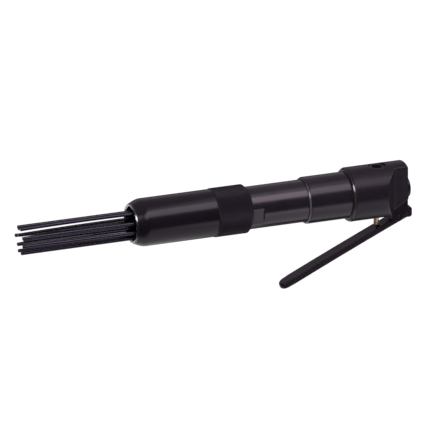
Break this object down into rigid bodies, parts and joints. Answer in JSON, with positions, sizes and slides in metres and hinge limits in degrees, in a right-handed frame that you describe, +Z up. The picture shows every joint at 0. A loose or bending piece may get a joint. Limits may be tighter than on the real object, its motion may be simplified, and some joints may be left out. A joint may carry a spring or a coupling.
{
  "type": "needle scaler",
  "caption": "Straight air-driven needle scaler: loose steel needles in a round nozzle, knurled collar, hammer cylinder, cast handle with a squeeze lever, and a threaded air inlet.",
  "frame": {"origin": "centre of the air inlet's mouth, on the tool's axis", "axes": "+X along the tool's axis out of the air inlet, needles towards -X; +Z up, lever below"},
  "size_m": [0.3561, 0.0472, 0.102],
  "materials": {
    "cast_black": "satin black cast steel",
    "turned_black": "glossy blackened turned steel",
    "knurl_black": "matte black fine knurl",
    "lever_black": "satin black forged steel",
    "plug_black": "black oxide",
    "needle_steel": "blue-black drawn wire",
    "bright_steel": "ground steel",
    "spring_steel": "drawn spring wire",
    "pin_steel": "ground pin",
    "brass": "turned brass",
    "rubber": "black nitrile rubber"
  },
  "bodies": {
    "tool": {"handle": "cast_black", "inlet_bush": "turned_black", "inlet_strainer": "brass", "throttle_plug": "plug_black", "plug_seal": "rubber", "throttle_spring": "spring_steel", "valve_seat": "brass", "pin_bush": "brass", "pin_seal": "rubber", "lever_pin": "pin_steel", "sleeve": "turned_black", "sleeve_seal": "rubber", "rear_valve_case": "bright_steel", "front_valve_case": "bright_steel", "case_pin": "bright_steel", "cylinder": "turned_black", "anvil_bush": "brass", "cushion_ring": "rubber", "stop_tube": "bright_steel", "collar": "knurl_black", "nozzle": "turned_black", "return_spring": "spring_steel"},
    "lever": {"lever": "lever_black"},
    "throttle": {"valve_pin": "brass", "throttle_valve": "bright_steel"},
    "valve_disc": {"valve_disc": "bright_steel"},
    "piston": {"piston": "bright_steel"},
    "anvil": {"anvil": "bright_steel"},
    "needle_holder": {"needle_holder": "bright_steel"},
    "needle_1": {"needle_1": "needle_steel"},
    "needle_2": {"needle_2": "needle_steel"},
    "needle_3": {"needle_3": "needle_steel"},
    "needle_4": {"needle_4": "needle_steel"},
    "needle_5": {"needle_5": "needle_steel"},
    "needle_6": {"needle_6": "needle_steel"},
    "needle_7": {"needle_7": "needle_steel"},
    "needle_8": {"needle_8": "needle_steel"},
    "needle_9": {"needle_9": "needle_steel"},
    "needle_10": {"needle_10": "needle_steel"},
    "needle_11": {"needle_11": "needle_steel"},
    "needle_12": {"needle_12": "needle_steel"}
  },
  "joints": [
    {"name": "lever_squeeze", "type": "hinge", "parent": "tool", "child": "lever", "pos_m": [-0.0114, 0, -0.0237], "axis": [0, 1, 0], "range_deg": [0, 12], "stiffness_Nm_per_rad": 1, "springref_deg": -5.73},
    {"name": "throttle_lift", "type": "slide", "parent": "tool", "child": "throttle", "axis": [0, 0, 1], "range_m": [0, 0.004], "deforming": ["throttle_spring"]},
    {"name": "valve_flip", "type": "slide", "parent": "tool", "child": "valve_disc", "axis": [1, 0, 0], "range_m": [0, 0.001]},
    {"name": "piston_stroke", "type": "slide", "parent": "tool", "child": "piston", "axis": [-1, 0, 0], "range_m": [0, 0.024]},
    {"name": "anvil_strike", "type": "slide", "parent": "tool", "child": "anvil", "axis": [-1, 0, 0], "range_m": [0, 0.0045]},
    {"name": "holder_slide", "type": "slide", "parent": "tool", "child": "needle_holder", "axis": [-1, 0, 0], "range_m": [0, 0.012], "stiffness_N_per_m": 800, "springref_m": -0.01, "deforming": ["return_spring"]},
    {"name": "needle_1_slide", "type": "slide", "parent": "needle_holder", "child": "needle_1", "axis": [1, 0, 0], "range_m": [0, 0.0025]},
    {"name": "needle_2_slide", "type": "slide", "parent": "needle_holder", "child": "needle_2", "axis": [1, 0, 0], "range_m": [0, 0.0025]},
    {"name": "needle_3_slide", "type": "slide", "parent": "needle_holder", "child": "needle_3", "axis": [1, 0, 0], "range_m": [0, 0.0025]},
    {"name": "needle_4_slide", "type": "slide", "parent": "needle_holder", "child": "needle_4", "axis": [1, 0, 0], "range_m": [0, 0.0025]},
    {"name": "needle_5_slide", "type": "slide", "parent": "needle_holder", "child": "needle_5", "axis": [1, 0, 0], "range_m": [0, 0.0025]},
    {"name": "needle_6_slide", "type": "slide", "parent": "needle_holder", "child": "needle_6", "axis": [1, 0, 0], "range_m": [0, 0.0025]},
    {"name": "needle_7_slide", "type": "slide", "parent": "needle_holder", "child": "needle_7", "axis": [1, 0, 0], "range_m": [0, 0.0025]},
    {"name": "needle_8_slide", "type": "slide", "parent": "needle_holder", "child": "needle_8", "axis": [1, 0, 0], "range_m": [0, 0.0025]},
    {"name": "needle_9_slide", "type": "slide", "parent": "needle_holder", "child": "needle_9", "axis": [1, 0, 0], "range_m": [0, 0.0025]},
    {"name": "needle_10_slide", "type": "slide", "parent": "needle_holder", "child": "needle_10", "axis": [1, 0, 0], "range_m": [0, 0.0025]},
    {"name": "needle_11_slide", "type": "slide", "parent": "needle_holder", "child": "needle_11", "axis": [1, 0, 0], "range_m": [0, 0.0025]},
    {"name": "needle_12_slide", "type": "slide", "parent": "needle_holder", "child": "needle_12", "axis": [1, 0, 0], "range_m": [0, 0.0025]}
  ],
  "couplings": [
    {"joint": "throttle_lift", "follows": "lever_squeeze", "m_per_rad": 0.019}
  ]
}
